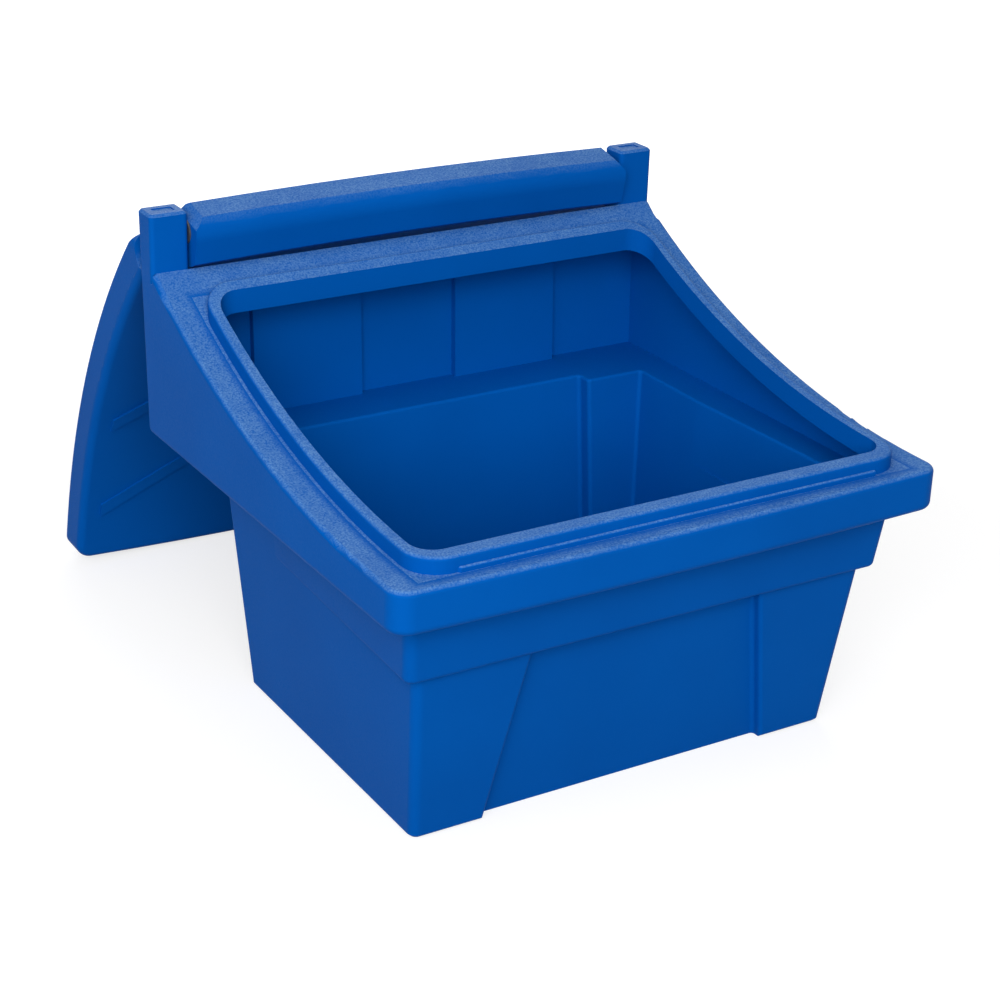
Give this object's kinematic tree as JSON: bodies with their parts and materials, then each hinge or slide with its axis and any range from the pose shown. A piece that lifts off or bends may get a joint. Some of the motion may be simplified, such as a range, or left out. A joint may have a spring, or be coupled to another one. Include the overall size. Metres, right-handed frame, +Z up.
{
  "type": "grit salt bin",
  "caption": "Free-standing moulded bin for grit salt with a sloping curved rim, a raised bead round its mouth and a lid hinged between two rear posts, shown hanging open.",
  "frame": {"origin": "middle of the bin's base, on the surface it stands on", "axes": "+X to the right seen from the front, +Y to the rear where the lid hangs, +Z up"},
  "size_m": [0.56, 0.7496, 0.462],
  "materials": {
    "moulded_plastic": "rotomoulded polyethylene, fine grain, royal blue",
    "zinc_steel": "turned steel, zinc plated",
    "spring_steel": "stamped spring steel",
    "washer_plastic": "moulded nylon, black"
  },
  "bodies": {
    "bin": {"bin_body": "moulded_plastic"},
    "lid": {"lid": "moulded_plastic", "hinge_pin_left": "zinc_steel", "hinge_pin_right": "zinc_steel", "retaining_ring_left": "spring_steel", "retaining_ring_right": "spring_steel", "spacer_washer_left": "washer_plastic", "spacer_washer_right": "washer_plastic"}
  },
  "joints": [
    {"name": "lid_hinge", "type": "hinge", "parent": "bin", "child": "lid", "pos_m": [0, 0.252, 0.435], "axis": [1, 0, 0], "range_deg": [0, 256.78]}
  ]
}
